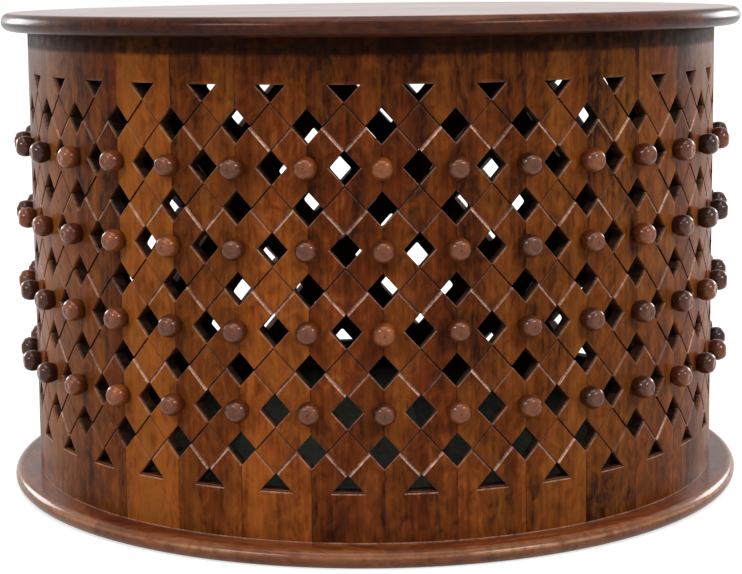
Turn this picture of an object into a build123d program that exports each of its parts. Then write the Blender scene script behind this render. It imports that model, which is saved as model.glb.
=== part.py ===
from build123d import *

import os
from math import cos, hypot, radians, sin, tan

os.makedirs("parts", exist_ok=True)

# African drum table, in millimetres with +Z up. A round glued-up top lies on a drum of pierced staves,
# which stands on a flat ring. The origin is on the floor, on the drum's axis, and the front faces -Y.

# ---- sizes -------------------------------------------------------------------------------------------

# Top: a glued-up round board with a full round edge
top_overhang = 26.0
top_thickness = 18.0
top_board_count = 5

# Drum: staves glued edge to edge, round outside and flat inside
drum_diameter = 710.0
wall_thickness = 15.0
stave_count = 34

# Lattice: rows of diamond holes between a plain foot and a plain head
tile_rows = 5
row_height = 72.5
hole_width = 28.6
hole_height = 32.0
foot_band = 47.0
head_band = 41.5

# Carving: a cut along each side of the plain tiles, upright at the tile and sloping up to the lattice
cut_depth = 2.8
cut_width = 4.0
cut_overrun = 1.0

# Knobs: turned buttons, each with a tenon glued into a socket on the seam between two staves
knob_diameter = 22.0
knob_length = 17.5
knob_shoulder = 5.5
tenon_diameter = 8.0
tenon_length = 10.0
tenon_clearance = 0.2
socket_relief = 0.5

# Base: a flat ring of glued segments with a full round outer edge
base_overhang = 26.0
base_inner_ledge = 35.0
base_thickness = 16.0
base_segment_count = 8
base_edge_break = 2.0

# Bottom boards, laid loose on the base ring's ledge inside the drum
bottom_thickness = 12.0
bottom_clearance = 3.0
bottom_board_count = 7
bottom_board_gap = 0.4

# Glue blocks, in the corner between the drum and the top
block_count = 6
block_length = 48.0
block_depth = 30.0
block_height = 32.0
block_chamfer = 12.0
block_screw_spacing = 26.0

# Countersunk wood screws
screw_diameter = 4.0
screw_head_diameter = 8.4
screw_head_angle = 90.0
screw_clearance = 0.2
pilot_relief = 1.0
base_screw_grip = 26.0
top_screw_grip = 11.0

# ---- what follows from the sizes ---------------------------------------------------------------------

drum_radius = drum_diameter / 2
inner_flat = drum_radius - wall_thickness
stave_angle = 360 / stave_count
half_stave = radians(stave_angle / 2)
stave_half_width = drum_radius * sin(half_stave)
front = -90.0
quarter_turn = 90.0

top_radius = drum_radius + top_overhang
base_radius = drum_radius + base_overhang
base_opening_radius = inner_flat - base_inner_ledge

lattice_height = tile_rows * row_height
drum_height = foot_band + lattice_height + head_band
lattice_bottom = base_thickness + foot_band
lattice_middle = lattice_height / 2
top_underside = base_thickness + drum_height

socket_radius = (tenon_diameter + tenon_clearance) / 2
pilot_radius = (screw_diameter + screw_clearance) / 2
knob_row_count = tile_rows - 1
seam_angles = [front + stave_angle * index for index in range(stave_count)]
stave_angles = [seam + stave_angle / 2 for seam in seam_angles]

# The staves that carry a glue block at the head, spread round the drum
block_angles = [stave_angles[round(stave_count * index / block_count)] for index in range(block_count)]

# The base segments start beside the front, and two screws hold each one to the nearest staves' feet
segment_angle = 360 / base_segment_count
segment_starts = [front + segment_angle * index for index in range(base_segment_count)]
base_screw_count = 2 * base_segment_count
base_screw_angles = [
    stave_angles[int(stave_count * (index + 0.5) / base_screw_count)] for index in range(base_screw_count)
]
base_screw_radius = drum_radius - wall_thickness / 2


def on_circle(radius, angle, height=0.0):
    """The point at a radius and an angle round the drum's axis."""
    return (radius * cos(radians(angle)), radius * sin(radians(angle)), height)


# ---- staves ------------------------------------------------------------------------------------------

# The stave is drawn at the front, where its middle is on -Y. Its face plane touches the drum's outside.
face_plane = Plane(origin=(0, -drum_radius, lattice_bottom), x_dir=(1, 0, 0), z_dir=(0, -1, 0))
outer_corner = (stave_half_width, -drum_radius * cos(half_stave))
inner_corner = (inner_flat * tan(half_stave), -inner_flat)
diamond = [(hole_width / 2, 0), (0, hole_height / 2), (-hole_width / 2, 0), (0, -hole_height / 2)]

# One tile's four cuts, at the lowest plain tile. Each runs out into the holes at its ends.
tile_half_width = stave_half_width - hole_width / 2
tile_half_height = (row_height - hole_height) / 2
tile_side = hypot(tile_half_width, tile_half_height)
lowest_tile = lattice_bottom + row_height / 2
cut_profile = [(0, -cut_depth), (cut_width, 0), (cut_width, cut_depth), (0, cut_depth)]

with BuildPart() as tile_cuts:
    for side in (-1, 1):
        for rise in (-1, 1):
            cut_plane = Plane(
                origin=(side * tile_half_width / 2, -drum_radius, lowest_tile + rise * tile_half_height / 2),
                x_dir=(side * tile_half_height, 0, rise * tile_half_width),
                z_dir=(rise * tile_half_width, 0, -side * tile_half_height),
            )
            with BuildSketch(cut_plane):
                Polygon(*cut_profile, align=None)
            extrude(amount=tile_side / 2 + cut_overrun, both=True)

with BuildPart() as stave:
    with BuildSketch(Plane.XY.offset(base_thickness)):
        with BuildLine():
            ThreePointArc((-outer_corner[0], outer_corner[1]), (0, -drum_radius), outer_corner)
            Polyline(
                outer_corner,
                inner_corner,
                (-inner_corner[0], inner_corner[1]),
                (-outer_corner[0], outer_corner[1]),
            )
        make_face()
    extrude(amount=drum_height)

    # whole diamonds down the middle, half diamonds on both edges
    with BuildSketch(face_plane):
        with Locations((0, lattice_middle)):
            with GridLocations(0, row_height, 1, tile_rows - 1):
                Polygon(*diamond)
            with GridLocations(2 * stave_half_width, row_height, 2, tile_rows):
                Polygon(*diamond)
    extrude(amount=drum_radius, both=True, mode=Mode.SUBTRACT)

    # half diamonds with a flat side, where the lattice meets the plain foot and head
    with BuildSketch(face_plane):
        with BuildLine():
            Polyline((-hole_width / 2, 0), (hole_width / 2, 0), (0, hole_height / 2), close=True)
        make_face()
        with BuildLine():
            Polyline(
                (-hole_width / 2, lattice_height),
                (hole_width / 2, lattice_height),
                (0, lattice_height - hole_height / 2),
                close=True,
            )
        make_face()
    extrude(amount=drum_radius, both=True, mode=Mode.SUBTRACT)

    # the carving round the plain tiles
    with Locations(*[(0, 0, row_height * row) for row in range(tile_rows)]):
        add(tile_cuts.part, mode=Mode.SUBTRACT)

    # half of each knob's socket, on both edges
    for side in (-1, 1):
        seam_plane = Plane(
            origin=(side * outer_corner[0], outer_corner[1], lattice_bottom),
            x_dir=(cos(half_stave), side * sin(half_stave), 0),
            z_dir=(side * sin(half_stave), -cos(half_stave), 0),
        )
        with BuildSketch(seam_plane):
            with Locations((0, lattice_middle)):
                with GridLocations(0, row_height, 1, knob_row_count):
                    Circle(socket_radius)
        extrude(amount=-(tenon_length + socket_relief), mode=Mode.SUBTRACT)

for index, angle in enumerate(stave_angles):
    with BuildPart() as placed_stave:
        with PolarLocations(0, 1, start_angle=angle - front):
            add(stave.part)
        # the staves that a base screw enters have a pilot hole in the foot
        if angle in base_screw_angles:
            with BuildSketch(Plane.XY.offset(base_thickness)):
                with PolarLocations(base_screw_radius, 1, start_angle=angle):
                    Circle(pilot_radius)
            extrude(amount=base_screw_grip + pilot_relief, mode=Mode.SUBTRACT)
    name = f"stave_{index + 1:02d}"
    placed_stave.part.label = name
    export_step(placed_stave.part, f"parts/{name}.step")

# ---- knobs -------------------------------------------------------------------------------------------

# One knob on the front seam, its flat seat on the drum's outside and its tenon in the socket
with BuildPart() as knob:
    with BuildSketch(Plane(origin=(0, -drum_radius, 0), x_dir=(1, 0, 0), z_dir=(0, -1, 0))) as seat:
        Circle(knob_diameter / 2)
    extrude(amount=knob_length)
    fillet(knob.edges().sort_by(Axis.Y)[0], radius=knob_shoulder)
    with BuildSketch(seat.workplanes[0]):
        Circle(tenon_diameter / 2)
    extrude(amount=-tenon_length)

for row in range(knob_row_count):
    knob_height = lattice_bottom + row_height * (row + 1)
    with BuildPart() as knob_row:
        with Locations((0, 0, knob_height)):
            with PolarLocations(0, stave_count):
                add(knob.part)
    name = f"knobs_row_{row + 1}"
    knob_row.part.label = name
    export_step(knob_row.part, f"parts/{name}.step")

# ---- base ring ---------------------------------------------------------------------------------------

screw_head_radius = screw_head_diameter / 2
base_round_start = base_radius - base_thickness / 2

for index, start in enumerate(segment_starts):
    section_plane = Plane(
        origin=(0, 0, 0),
        x_dir=on_circle(1, start),
        z_dir=on_circle(1, start - quarter_turn),
    )
    with BuildPart() as segment:
        with BuildSketch(section_plane) as section:
            with BuildLine():
                ThreePointArc(
                    (base_round_start, 0),
                    (base_radius, base_thickness / 2),
                    (base_round_start, base_thickness),
                )
                Polyline(
                    (base_round_start, base_thickness),
                    (base_opening_radius, base_thickness),
                    (base_opening_radius, 0),
                    (base_round_start, 0),
                )
            make_face()
            corners = section.vertices()
            inner_corners = corners.sort_by(lambda corner: section_plane.to_local_coords(corner).X)[:2]
            chamfer(inner_corners, length=base_edge_break)
        revolve(axis=Axis.Z, revolution_arc=segment_angle)
        for angle in base_screw_angles:
            if 0 < (angle - start) % 360 < segment_angle:
                with Locations(Plane(origin=on_circle(base_screw_radius, angle), z_dir=(0, 0, -1))):
                    CounterSinkHole(pilot_radius, screw_head_radius, counter_sink_angle=screw_head_angle)
    name = f"base_segment_{index + 1}"
    segment.part.label = name
    export_step(segment.part, f"parts/{name}.step")

# ---- bottom boards -----------------------------------------------------------------------------------

bottom_radius = inner_flat - bottom_clearance
bottom_board_width = 2 * bottom_radius / bottom_board_count
bottom_joints = [bottom_board_width * (index + 1) - bottom_radius for index in range(bottom_board_count - 1)]

with BuildPart() as bottom_boards:
    with Locations((0, 0, base_thickness + bottom_thickness / 2)):
        Cylinder(bottom_radius, bottom_thickness)
    with Locations(*[(joint, 0, base_thickness + bottom_thickness / 2) for joint in bottom_joints]):
        Box(bottom_board_gap, 2 * bottom_radius, bottom_thickness, mode=Mode.SUBTRACT)
bottom_boards.part.label = "bottom_boards"
export_step(bottom_boards.part, "parts/bottom_boards.step")

# ---- glue blocks -------------------------------------------------------------------------------------

# The block is drawn at the front, glued to the flat inside of a stave and to the top's underside. Its
# screws stand midway across the flat that the chamfer leaves.
block_underside = top_underside - block_height
block_middle = -inner_flat + block_depth / 2
block_screw_line = -inner_flat + (block_depth - block_chamfer) / 2

with BuildPart() as block:
    with BuildSketch(Plane.XY.offset(block_underside)):
        with Locations((0, block_middle)):
            Rectangle(block_length, block_depth)
    extrude(amount=block_height)
    free_edge = block.edges().filter_by(Axis.X).sort_by(Axis.Z)[:2].sort_by(Axis.Y)[-1]
    chamfer(free_edge, length=block_chamfer)
    with Locations(Plane(origin=(0, block_screw_line, block_underside), z_dir=(0, 0, -1))):
        with GridLocations(block_screw_spacing, 0, 2, 1):
            CounterSinkHole(pilot_radius, screw_head_radius, counter_sink_angle=screw_head_angle)

for index, angle in enumerate(block_angles):
    with BuildPart() as placed_block:
        with PolarLocations(0, 1, start_angle=angle - front):
            add(block.part)
    name = f"glue_block_{index + 1}"
    placed_block.part.label = name
    export_step(placed_block.part, f"parts/{name}.step")

# ---- top ---------------------------------------------------------------------------------------------

board_width = 2 * top_radius / top_board_count
top_middle = top_underside + top_thickness / 2
top_face = top_underside + top_thickness
top_round_start = top_radius - top_thickness / 2

for index in range(top_board_count):
    board_middle = board_width * (index + 0.5) - top_radius
    with BuildPart() as board:
        with BuildSketch(Plane.XZ):
            with BuildLine():
                ThreePointArc(
                    (top_round_start, top_underside),
                    (top_radius, top_middle),
                    (top_round_start, top_face),
                )
                Polyline(
                    (top_round_start, top_face),
                    (0, top_face),
                    (0, top_underside),
                    (top_round_start, top_underside),
                )
            make_face()
        revolve(axis=Axis.Z)
        with BuildSketch(Plane.XY.offset(top_underside)):
            for angle in block_angles:
                with PolarLocations(0, 1, start_angle=angle - front):
                    with Locations((0, block_screw_line)):
                        with GridLocations(block_screw_spacing, 0, 2, 1):
                            Circle(pilot_radius)
        extrude(amount=top_screw_grip + pilot_relief, mode=Mode.SUBTRACT)
        with Locations((0, board_middle, top_middle)):
            Box(2 * top_radius, board_width, top_thickness, mode=Mode.INTERSECT)
    name = f"top_board_{index + 1}"
    board.part.label = name
    export_step(board.part, f"parts/{name}.step")

# ---- screws ------------------------------------------------------------------------------------------

screw_head_height = (screw_head_radius - screw_diameter / 2) / tan(radians(screw_head_angle / 2))


def screw_profile(length):
    """The half section of a countersunk screw that stands on its head."""
    return Polyline(
        (0, 0),
        (screw_head_radius, 0),
        (screw_diameter / 2, screw_head_height),
        (screw_diameter / 2, length - screw_diameter / 2),
        (0, length),
        close=True,
    )


with BuildPart() as base_screw:
    with BuildSketch(Plane.XZ):
        with BuildLine():
            screw_profile(base_thickness + base_screw_grip)
        make_face()
    revolve(axis=Axis.Z)

with BuildPart() as base_screws:
    with Locations(*[on_circle(base_screw_radius, angle) for angle in base_screw_angles]):
        add(base_screw.part)
base_screws.part.label = "base_screws"
export_step(base_screws.part, "parts/base_screws.step")

with BuildPart() as block_screw:
    with BuildSketch(Plane.XZ):
        with BuildLine():
            screw_profile(block_height + top_screw_grip)
        make_face()
    revolve(axis=Axis.Z)

with BuildPart() as block_screws:
    for angle in block_angles:
        with PolarLocations(0, 1, start_angle=angle - front):
            with Locations((0, block_screw_line, block_underside)):
                with GridLocations(block_screw_spacing, 0, 2, 1):
                    add(block_screw.part)
block_screws.part.label = "block_screws"
export_step(block_screws.part, "parts/block_screws.step")
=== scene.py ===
"""Looks of the african drum table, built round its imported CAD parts, in metres with +Z up."""

import logging
import math
import random
from collections.abc import Callable, Iterable
from dataclasses import dataclass, replace
from enum import Enum
from functools import cache
from typing import Any

import bpy
from mathutils import Matrix, Vector


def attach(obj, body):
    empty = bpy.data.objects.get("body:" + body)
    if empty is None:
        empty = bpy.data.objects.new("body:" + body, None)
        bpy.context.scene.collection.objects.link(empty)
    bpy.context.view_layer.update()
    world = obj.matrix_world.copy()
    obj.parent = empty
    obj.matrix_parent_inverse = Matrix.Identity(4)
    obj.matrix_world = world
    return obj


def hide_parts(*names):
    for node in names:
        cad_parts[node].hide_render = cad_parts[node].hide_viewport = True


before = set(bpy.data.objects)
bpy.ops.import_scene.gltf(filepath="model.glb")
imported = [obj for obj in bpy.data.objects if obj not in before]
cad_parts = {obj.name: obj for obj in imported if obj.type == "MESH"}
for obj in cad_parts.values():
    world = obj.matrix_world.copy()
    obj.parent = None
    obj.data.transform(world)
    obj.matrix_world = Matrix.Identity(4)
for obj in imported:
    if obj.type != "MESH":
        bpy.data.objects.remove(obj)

logging.basicConfig(level=logging.INFO, format="%(message)s")
log = logging.getLogger("drum_table")

MM = 0.001
FULL_TURN = 2 * math.pi
QUARTER_TURN = math.pi / 2
PICTURE_WIDTH = 742
SENSOR = 36.0

Colour = tuple[float, float, float, float]
Triple = tuple[float, float, float]


def stain(red: int, green: int, blue: int) -> Colour:
    """A colour written as on a screen, 0 to 255 each, as the linear colour that a shader takes."""
    parts = (value / 255 for value in (red, green, blue))
    return (*(part / 12.92 if part <= 0.04045 else ((part + 0.055) / 1.055) ** 2.4 for part in parts), 1.0)


WHITE: Colour = (1.0, 1.0, 1.0, 1.0)
LIGHT_WOOD = stain(160, 86, 32)
GOLDEN_WOOD = stain(140, 84, 32)
MIDDLE_WOOD = stain(102, 46, 17)
DARK_WOOD = stain(44, 19, 9)
# the colour of rubbed stain, also used for painted highlights
RUBBED_AND_LIT_WOOD = stain(214, 170, 148)
# the colour of dirt, also used for painted shade
DIRT_AND_SHADE = stain(24, 11, 7)


# ---- node trees --------------------------------------------------------------------------------------


def step(operation: str, turned: bool = False) -> Callable[..., "Field"]:
    """Makes a method of Field from one operation of the Math node.

    Args:
        operation: The node's operation.
        turned: Whether the other number goes in first.

    Returns:
        The method.
    """

    def run(self: "Field", *other: Any) -> "Field":
        """Runs the operation on this number, with another one where it takes two."""
        return self.graph.calc(operation, *((*other, self) if turned else (self, *other)))

    return run


class Field:
    """A number that flows through a node tree and takes the usual arithmetic.

    The remainder is never below zero, and above and below give one where they hold and zero elsewhere.
    """

    def __init__(self, graph: "Graph", socket: bpy.types.NodeSocket) -> None:
        """Keeps the tree and the socket that the number comes from."""
        self.graph = graph
        self.socket = socket

    __add__ = __radd__ = step("ADD")
    __mul__ = __rmul__ = step("MULTIPLY")
    __sub__, __rsub__ = step("SUBTRACT"), step("SUBTRACT", turned=True)
    __truediv__, __rtruediv__ = step("DIVIDE"), step("DIVIDE", turned=True)
    __mod__ = step("FLOORED_MODULO")
    __abs__ = step("ABSOLUTE")
    sign, root = step("SIGN"), step("SQRT")
    rounded, floored = step("ROUND"), step("FLOOR")
    cosine, sine = step("COSINE"), step("SINE")
    above, below = step("GREATER_THAN"), step("LESS_THAN")
    at_least, at_most = step("MAXIMUM"), step("MINIMUM")

    def clamped(self) -> "Field":
        """The number, kept between zero and one."""
        return self.at_least(0).at_most(1)

    def near(self, middle: Any, width: Any) -> "Field":
        """One where the number is at a middle, falling evenly to zero at a width away from it."""
        return (1 - abs(self - middle) / width).at_least(0)


class Graph:
    """A node tree with short calls for the nodes that this file uses."""

    def __init__(self, tree: bpy.types.NodeTree) -> None:
        """Keeps the tree that nodes are added to."""
        self.tree = tree

    def feed(self, socket: bpy.types.NodeSocket, value: Any) -> None:
        """Links a socket to a field or another socket, or sets its value.

        Args:
            socket: The input to fill.
            value: A Field, a socket, or a plain value.
        """
        if isinstance(value, Field):
            value = value.socket
        if isinstance(value, bpy.types.NodeSocket):
            self.tree.links.new(value, socket)
        else:
            socket.default_value = value

    def add(self, kind: str, inputs: dict[Any, Any] | None = None, **settings: Any) -> bpy.types.Node:
        """Adds a node.

        Args:
            kind: The node's type.
            inputs: Values or sockets by the name or number of the input.
            settings: The node's own properties.

        Returns:
            The new node.
        """
        node = self.tree.nodes.new(kind)
        for name, value in settings.items():
            setattr(node, name, value)
        for key, value in (inputs or {}).items():
            self.feed(node.inputs[key], value)
        return node

    def first(self, kind: str, inputs: dict[Any, Any] | None = None, **settings: Any) -> Any:
        """Adds a node and gives the socket of its first output."""
        return self.add(kind, inputs, **settings).outputs[0]

    def calc(self, operation: str, *values: Any) -> Field:
        """One step of arithmetic, with what goes in in its order."""
        return Field(self, self.first("ShaderNodeMath", dict(enumerate(values)), operation=operation))

    def vector(self, x: Any, y: Any, z: Any) -> bpy.types.NodeSocket:
        """Three numbers joined into a vector."""
        return self.first("ShaderNodeCombineXYZ", {0: x, 1: y, 2: z})

    def polar(self, reach: Any, angle: Field, height: Any) -> bpy.types.NodeSocket:
        """A place given by its distance from the axis, its angle round it and its height."""
        return self.vector(reach * angle.cosine(), reach * angle.sine(), height)

    def parts(self, vector: Any) -> tuple[Field, Field, Field]:
        """A vector's three numbers."""
        return tuple(Field(self, part) for part in self.add("ShaderNodeSeparateXYZ", {0: vector}).outputs)

    def attribute(self, name: str, output: str = "Fac") -> Field:
        """A value that the mesh carries under a name."""
        return Field(self, self.add("ShaderNodeAttribute", attribute_name=name).outputs[output])

    def spot(self) -> bpy.types.NodeSocket:
        """Where a point is on the table, as a vector."""
        return self.add("ShaderNodeTexCoord").outputs["Object"]

    def place(self) -> tuple[Field, Field, Field]:
        """Where a point is on the table, as three numbers."""
        return self.parts(self.spot())

    def noise(self, vector: Any, scale: float, detail: float) -> Field:
        """Smooth noise, finer with its scale and richer with its detail."""
        inputs = {"Vector": vector, "Scale": scale, "Detail": detail}
        return Field(self, self.first("ShaderNodeTexNoise", inputs))

    def drawn(self, dimensions: str, **inputs: Any) -> Field:
        """A random number for each place, the same on every run."""
        return Field(self, self.first("ShaderNodeTexWhiteNoise", inputs, noise_dimensions=dimensions))

    def ramp(self, value: Any, low: float, high: float, start: float = 0.0, end: float = 1.0) -> Field:
        """A clamped change from start to end, while a value goes from low to high."""
        return Field(self, self.first("ShaderNodeMapRange", {0: value, 1: low, 2: high, 3: start, 4: end}))

    def blend(self, amount: Any, first: Any, second: Any) -> bpy.types.NodeSocket:
        """Two colours mixed, by an amount from 0 for the first to 1 for the second."""
        return self.add("ShaderNodeMix", {0: amount, 6: first, 7: second}, data_type="RGBA").outputs[2]


class Group(Graph):
    """A node group with named inputs and outputs."""

    KINDS = {float: "NodeSocketFloat", int: "NodeSocketInt", tuple: "NodeSocketColor"}

    def __init__(self, name: str, kind: str, inputs: dict[str, Any], outputs: dict[str, str]) -> None:
        """Makes the group with its sockets.

        Args:
            name: The group's name.
            kind: The tree's type.
            inputs: Each input's value, or its socket type where it has no value of its own.
            outputs: Each output's socket type.
        """
        super().__init__(bpy.data.node_groups.new(name, kind))
        self.sockets: dict[str, str] = {}
        for label, value in inputs.items():
            socket_type = self.KINDS.get(type(value), value)
            socket = self.tree.interface.new_socket(label, in_out="INPUT", socket_type=socket_type)
            if socket_type is not value:
                socket.default_value = value
            self.sockets[label] = socket.identifier
        for label, socket_type in outputs.items():
            self.tree.interface.new_socket(label, in_out="OUTPUT", socket_type=socket_type)
        self.entry = self.add("NodeGroupInput")

    def given(self, label: str) -> Field:
        """One of the group's own inputs."""
        return Field(self, self.entry.outputs[label])


class GeometryTree(Group):
    """A Geometry Nodes tree with named inputs, which makes plain mesh objects."""

    def __init__(self, name: str, inputs: dict[str, Any]) -> None:
        """Makes the tree, with a material to set besides its own inputs."""
        inputs = {**inputs, "Material": "NodeSocketMaterial"}
        super().__init__(name, "GeometryNodeTree", inputs, {"Geometry": "NodeSocketGeometry"})

    def position(self) -> tuple[Field, Field, Field]:
        """Where each point of a geometry is."""
        return self.parts(self.first("GeometryNodeInputPosition"))

    def index(self) -> Field:
        """Each point's number, from zero."""
        return Field(self, self.first("GeometryNodeInputIndex"))

    def grid(self, columns: Any, rows: Any) -> bpy.types.NodeSocket:
        """A flat sheet of one by one, with its middle at the origin."""
        inputs = {"Size X": 1.0, "Size Y": 1.0, "Vertices X": columns, "Vertices Y": rows}
        return self.first("GeometryNodeMeshGrid", inputs)

    def points(self, count: Any) -> bpy.types.NodeSocket:
        """Points to stand things on, all at the origin."""
        inputs = {"Count": count, "Start Location": (0, 0, 0), "Offset": (0, 0, 0)}
        return self.first("GeometryNodeMeshLine", inputs)

    def placed(self, geometry: Any, position: Any, chosen: Any = True) -> bpy.types.NodeSocket:
        """Moves the points of a geometry to a position."""
        inputs = {"Geometry": geometry, "Selection": chosen, "Position": position}
        return self.first("GeometryNodeSetPosition", inputs)

    def merged(self, geometry: Any, distance: float) -> bpy.types.NodeSocket:
        """Joins the points that lie within a distance of one another."""
        return self.first("GeometryNodeMergeByDistance", {"Geometry": geometry, "Distance": distance})

    def stored(self, geometry: Any, kind: str = "FLOAT", domain: str = "POINT", **values: Any) -> Any:
        """Keeps values on the geometry under their names, for the finish to read.

        Args:
            geometry: What they are kept on.
            kind: The attributes' type.
            domain: Points or instances.
            values: The fields to keep.

        Returns:
            The geometry with the attributes.
        """
        for name, value in values.items():
            inputs = {"Geometry": geometry, "Name": name, "Value": value}
            geometry = self.first("GeometryNodeStoreNamedAttribute", inputs, data_type=kind, domain=domain)
        return geometry

    def listed(self, index: Field, values: Iterable[Any]) -> Field:
        """Picks one of several numbers by its place in a list.

        Args:
            index: The place, from zero.
            values: The numbers or fields.

        Returns:
            The picked number.
        """
        values = list(values)
        node = self.add("GeometryNodeIndexSwitch", data_type="FLOAT")
        while len(node.index_switch_items) < len(values):
            node.index_switch_items.new()
        for place, value in enumerate([index.rounded(), *values]):
            self.feed(node.inputs[place], value)
        return Field(self, node.outputs[0])

    def chance(self, low: Any, high: Any, number: int) -> Field:
        """A random number for each element, the same on every run, set apart from others by its number."""
        inputs = {2: low, 3: high, "Seed": self.given("Seed") * 31 + number}
        return Field(self, self.add("FunctionNodeRandomValue", inputs, data_type="FLOAT").outputs[1])

    def close(self, geometry: Any) -> None:
        """Ends the tree with real geometry in its material.

        Args:
            geometry: What the tree has made.
        """
        real = self.first("GeometryNodeRealizeInstances", {"Geometry": geometry})
        inputs = {"Geometry": real, "Material": self.given("Material")}
        self.add("NodeGroupOutput", {"Geometry": self.first("GeometryNodeSetMaterial", inputs)})

    def make(self, name: str, material: bpy.types.Material, **values: float | int) -> bpy.types.Object:
        """Runs the tree once and keeps the result as a plain mesh.

        Args:
            name: The new object's name.
            material: Its finish.
            values: The tree's inputs by name, with underscores for spaces.

        Returns:
            The new object, at the origin.
        """
        source = added(name + "_source", bpy.data.meshes.new(name + "_source"))
        modifier = source.modifiers.new("Nodes", "NODES")
        modifier.node_group = self.tree
        for label, value in {"material": material, **values}.items():
            modifier[self.sockets[title(label)]] = value
        graph = bpy.context.evaluated_depsgraph_get()
        mesh = bpy.data.meshes.new_from_object(source.evaluated_get(graph), depsgraph=graph)
        bpy.data.objects.remove(source)
        mesh.name = name
        return added(name, mesh)


def title(name: str) -> str:
    """The title of the input that takes a value with this name."""
    return name.replace("_", " ").title()


def sizes(part: Any, *names: str) -> dict[str, Any]:
    """Some of the values of a part or a finish, by the titles of the inputs that take them."""
    return {title(name): getattr(part, name) for name in names}


def cleared(owner: bpy.types.Material | bpy.types.World) -> Graph:
    """Empties the node tree of a new material or surround.

    Args:
        owner: The material or surround.

    Returns:
        The tree as a graph to add nodes to.
    """
    owner.use_nodes = True
    owner.node_tree.nodes.clear()
    return Graph(owner.node_tree)


def added(name: str, data: Any) -> bpy.types.Object:
    """Puts a new object in the scene, at the origin.

    Args:
        name: Its name.
        data: Its mesh, lamp or camera.

    Returns:
        The object.
    """
    thing = bpy.data.objects.new(name, data)
    bpy.context.scene.collection.objects.link(thing)
    return thing


def on_drum(piece: bpy.types.Object, crease: float, slot: str, *nodes: str) -> None:
    """Shades a finished piece smooth and fixes it to the table.

    Args:
        piece: The piece.
        crease: The angle in degrees past which two faces meet in a crease.
        slot: The name of the finish that it wears; not used.
        nodes: The CAD nodes that it stands for.
    """
    piece.data.shade_smooth()
    piece.data.set_sharp_from_angle(angle=math.radians(crease))
    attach(piece, "root")
    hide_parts(*nodes)
    triangles = sum(len(face.vertices) - 2 for face in piece.data.polygons)
    log.info("%s: %d triangles", piece.name, triangles)


# ---- finishes ----------------------------------------------------------------------------------------


class GrainSpace(Enum):
    """Where a wood finish reads its grain from."""

    PIECE = "the piece's own coordinates, kept as an attribute"
    TABLE = "the table's coordinates, turned so that the grain runs along the piece"


@dataclass(frozen=True)
class GrainLayer:
    """One layer of a wood's figure: noise drawn out along Z, spread between a low and a high value."""

    across: float
    along: float
    detail: float
    swirl: float
    offset: float
    low: float = 0.3
    high: float = 0.7

    def mask(self, graph: Group) -> Field:
        """Builds the layer in the grain's group.

        Args:
            graph: The group.

        Returns:
            The layer, 0 to 1.
        """
        inputs = {0: graph.given("Vector"), 1: (self.across, self.across, self.along)}
        inputs = {
            "Vector": graph.first("ShaderNodeVectorMath", inputs, operation="MULTIPLY"),
            "W": graph.given("Seed") + self.offset,
            "Scale": 1.0,
            "Detail": self.detail,
            "Distortion": self.swirl,
        }
        noise = Field(graph, graph.first("ShaderNodeTexNoise", inputs, noise_dimensions="4D"))
        return graph.ramp(noise, self.low, self.high)


@cache
def wood_grain() -> bpy.types.NodeTree:
    """The shader group of stained wood: broad figure, fine streaks and open pores along Z.

    Returns:
        The group.
    """
    inputs = {
        "Vector": "NodeSocketVector",
        "Seed": 0.0,
        "Tone": 0.5,
        "Warmth": 0.4,
        "Light": LIGHT_WOOD,
        "Golden": GOLDEN_WOOD,
        "Middle": MIDDLE_WOOD,
        "Dark": DARK_WOOD,
        "Figure": 1.0,
    }
    outputs = {"Color": "NodeSocketColor", "Height": "NodeSocketFloat"}
    graph = Group("Wood grain", "ShaderNodeTree", inputs, outputs)
    given = graph.given
    broad = GrainLayer(26.0, 3.2, 3.0, 0.5, 0.0).mask(graph)
    bands = GrainLayer(90.0, 9.0, 4.0, 1.6, 3.1).mask(graph)
    mottle = GrainLayer(70.0, 42.0, 5.0, 1.8, 5.4).mask(graph)
    streaks = GrainLayer(480.0, 34.0, 2.0, 0.4, 7.7, 0.34, 0.68).mask(graph)
    pores = GrainLayer(1500.0, 45.0, 1.0, 0.0, 12.3, 0.62, 0.74).mask(graph)
    mineral = GrainLayer(40.0, 2.2, 2.0, 1.5, 17.9, 0.64, 0.76).mask(graph)
    drift = GrainLayer(34.0, 4.0, 2.0, 0.8, 23.0).mask(graph)

    # the figure swings the tone to both sides of what the finish asks for
    figure = (broad - 0.5) * 0.52 + (bands - 0.5) * 0.28 + (mottle - 0.5) * 0.44 + (streaks - 0.5) * 0.14
    mix = given("Tone") + given("Figure") * figure
    warmth = given("Warmth") + (drift - 0.5)
    middle = graph.blend(warmth * 0.55, given("Middle"), given("Golden"))
    light = graph.blend(warmth, given("Light"), given("Golden"))
    colour = graph.blend(graph.ramp(mix, 0.0, 0.5), given("Dark"), middle)
    colour = graph.blend(graph.ramp(mix, 0.5, 1.0), colour, light)
    colour = graph.blend(pores * 0.26 + mineral * 0.5, colour, given("Dark"))
    height = streaks * 0.6 + bands * 0.4 - pores * 0.8
    graph.add("NodeGroupOutput", {"Color": colour, "Height": height})
    return graph.tree


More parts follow.
